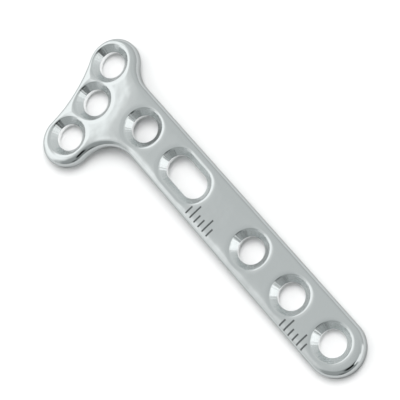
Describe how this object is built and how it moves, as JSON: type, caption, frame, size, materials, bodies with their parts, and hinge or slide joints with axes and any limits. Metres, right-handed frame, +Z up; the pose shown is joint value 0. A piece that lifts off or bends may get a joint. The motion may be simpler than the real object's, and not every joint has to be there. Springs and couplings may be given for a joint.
{
  "type": "orthopedic bone plate",
  "caption": "Slim T-shaped bone plate with an oblique, slightly bent head, countersunk screw holes and one oblong hole, in polished implant steel.",
  "frame": {"origin": "centre of the plate's box, on the surface that it lies on", "axes": "+X along the shaft to the free end, +Z up out of the countersunk side, as the plate lies on a table"},
  "size_m": [0.0712, 0.0232, 0.0034],
  "materials": {
    "polished_steel": "mirror polished"
  },
  "bodies": {
    "root": {"bone_plate": "polished_steel"}
  },
  "joints": []
}
